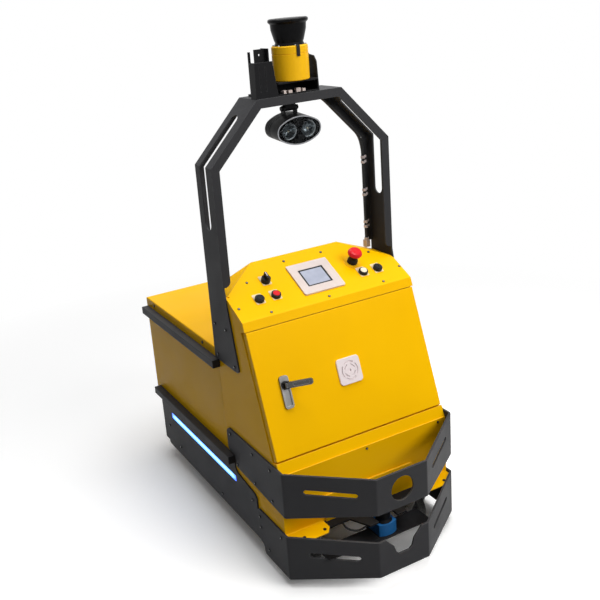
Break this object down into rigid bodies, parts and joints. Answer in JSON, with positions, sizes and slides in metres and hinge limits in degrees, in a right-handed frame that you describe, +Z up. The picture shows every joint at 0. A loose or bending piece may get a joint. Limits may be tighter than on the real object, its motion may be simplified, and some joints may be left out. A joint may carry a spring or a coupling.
{
  "type": "autonomous mobile robot",
  "caption": "Autonomous mobile robot: sheet-metal body with a sloped console, bent-plate bumpers, side rails and light strips, and an arch carrying a navigation scanner and spot light.",
  "frame": {"origin": "on the floor under the middle of the overall box", "axes": "+Z up, -Y to the front with the bumpers, +X to the robot's left-hand side"},
  "size_m": [0.654, 1.133, 1.605],
  "materials": {
    "yellow_paint": "semi-gloss powder coat",
    "dark_paint": "fine textured powder coat",
    "black_metal": "satin black",
    "steel": "zinc plated",
    "aluminium": "satin",
    "motor_alloy": "cast alloy housing",
    "tyre": "moulded tread",
    "black_plastic": "matt",
    "grey_plastic": "matt",
    "blue_plastic": "matt",
    "beige_plastic": "matt",
    "pale_plastic": "matt",
    "yellow_plastic": "satin",
    "red_plastic": "satin",
    "cream_plastic": "translucent cap",
    "dark_window": "glossy",
    "screen": "display film",
    "lens": "clear",
    "rubber": "cable sheath",
    "led": "light diffuser"
  },
  "bodies": {
    "chassis": {"chassis_tray": "yellow_paint", "front_fascia": "yellow_paint", "front_deck": "black_metal", "console_shell": "yellow_paint", "control_panel": "yellow_paint", "cover_screws": "black_metal", "rear_box": "yellow_paint", "rear_lid": "yellow_paint", "rails_upper": "dark_paint", "rails_lower": "dark_paint", "skirt_left": "dark_paint", "skirt_right": "dark_paint", "light_strips": "led", "bumper_upper": "dark_paint", "bumper_lower": "dark_paint", "mast_arch": "dark_paint", "sensor_cable": "rubber", "cable_clips": "pale_plastic", "cable_connector": "beige_plastic", "nav_cradle": "black_metal", "nav_front_plates": "black_metal", "nav_body": "yellow_plastic", "nav_window": "dark_window", "lamp_bracket": "black_metal", "scanner_bracket": "black_metal", "scanner_base": "blue_plastic", "scanner_head": "dark_window", "estop_body": "black_plastic", "estop_legend": "yellow_plastic", "button_bodies": "black_plastic", "legend_plates": "pale_plastic", "hmi_bezel": "beige_plastic", "hmi_screen": "screen", "battery_pack": "grey_plastic", "controller_unit": "grey_plastic", "drive_gearmotors": "motor_alloy", "caster_mounts": "steel"},
    "nav_rotor": {"nav_mirror": "aluminium"},
    "spot_light": {"lamp_housing": "black_plastic", "lamp_lenses": "lens"},
    "door": {"door_panel": "yellow_paint", "sounder": "pale_plastic", "handle_plate": "aluminium"},
    "handle_barrel": {"handle_spindle": "black_metal"},
    "lever": {"handle_lever": "black_metal"},
    "selector": {"selector_knob": "black_plastic"},
    "key": {"key_barrel": "black_plastic"},
    "black_button": {"button_black": "black_plastic"},
    "red_button": {"button_red": "red_plastic"},
    "white_button": {"button_white": "cream_plastic"},
    "stop_stem": {"estop_stem": "black_plastic"},
    "stop_cap": {"estop_cap": "red_plastic"},
    "caster_fork_l": {"caster_fork_left": "steel"},
    "caster_fork_r": {"caster_fork_right": "steel"},
    "caster_wheel_l": {"caster_wheel_left": "tyre"},
    "caster_wheel_r": {"caster_wheel_right": "tyre"},
    "drive_wheel_l": {"drive_hub_left": "aluminium", "drive_tyre_left": "tyre"},
    "drive_wheel_r": {"drive_hub_right": "aluminium", "drive_tyre_right": "tyre"}
  },
  "joints": [
    {"name": "nav_mirror_spin", "type": "hinge", "parent": "chassis", "child": "nav_rotor", "pos_m": [0, -0.1025, 1.555], "axis": [0, 0, 1], "continuous": true},
    {"name": "spot_light_tilt", "type": "hinge", "parent": "chassis", "child": "spot_light", "pos_m": [0, -0.07504, 1.34853], "axis": [1, 0, 0], "range_deg": [-20, 25]},
    {"name": "door_hinge", "type": "hinge", "parent": "chassis", "child": "door", "pos_m": [0.291, -0.30939, 0.57937], "axis": [0, 0.3339, 0.9426], "range_deg": [0, 105]},
    {"name": "handle_turn", "type": "hinge", "parent": "door", "child": "handle_barrel", "pos_m": [-0.217, -0.3097, 0.59646], "axis": [0, -0.9426, 0.3339], "range_deg": [-90, 0]},
    {"name": "lever_fold", "type": "hinge", "parent": "handle_barrel", "child": "lever", "pos_m": [-0.217, -0.32573, 0.60213], "axis": [0, 0.3339, 0.9426], "range_deg": [-10, 45]},
    {"name": "selector_turn", "type": "hinge", "parent": "chassis", "child": "selector", "pos_m": [-0.153, -0.12851, 0.85987], "axis": [0, -0.4664, 0.8846], "range_deg": [-45, 45]},
    {"name": "key_turn", "type": "hinge", "parent": "chassis", "child": "key", "pos_m": [0.217, -0.18601, 0.82956], "axis": [0, -0.4664, 0.8846], "range_deg": [-90, 0]},
    {"name": "black_button_press", "type": "slide", "parent": "chassis", "child": "black_button", "axis": [0, 0.4664, -0.8846], "range_m": [0, 0.004], "stiffness_N_per_m": 600},
    {"name": "red_button_press", "type": "slide", "parent": "chassis", "child": "red_button", "axis": [0, 0.4664, -0.8846], "range_m": [0, 0.004], "stiffness_N_per_m": 600},
    {"name": "white_button_press", "type": "slide", "parent": "chassis", "child": "white_button", "axis": [0, 0.4664, -0.8846], "range_m": [0, 0.004], "stiffness_N_per_m": 600},
    {"name": "stop_press", "type": "slide", "parent": "chassis", "child": "stop_stem", "axis": [0, 0.4664, -0.8846], "range_m": [0, 0.004]},
    {"name": "stop_release_twist", "type": "hinge", "parent": "stop_stem", "child": "stop_cap", "pos_m": [0.154, -0.15401, 0.88035], "axis": [0, -0.4664, 0.8846], "range_deg": [-30, 0], "stiffness_Nm_per_rad": 0.3},
    {"name": "caster_swivel_l", "type": "hinge", "parent": "chassis", "child": "caster_fork_l", "pos_m": [0.2, -0.38, 0.14], "axis": [0, 0, 1], "continuous": true},
    {"name": "caster_roll_l", "type": "hinge", "parent": "caster_fork_l", "child": "caster_wheel_l", "pos_m": [0.2, -0.352, 0.05], "axis": [1, 0, 0], "continuous": true},
    {"name": "drive_roll_l", "type": "hinge", "parent": "chassis", "child": "drive_wheel_l", "pos_m": [0.222, 0.3, 0.1], "axis": [1, 0, 0], "continuous": true},
    {"name": "caster_swivel_r", "type": "hinge", "parent": "chassis", "child": "caster_fork_r", "pos_m": [-0.2, -0.38, 0.14], "axis": [0, 0, 1], "continuous": true},
    {"name": "caster_roll_r", "type": "hinge", "parent": "caster_fork_r", "child": "caster_wheel_r", "pos_m": [-0.2, -0.352, 0.05], "axis": [1, 0, 0], "continuous": true},
    {"name": "drive_roll_r", "type": "hinge", "parent": "chassis", "child": "drive_wheel_r", "pos_m": [-0.222, 0.3, 0.1], "axis": [1, 0, 0], "continuous": true}
  ]
}
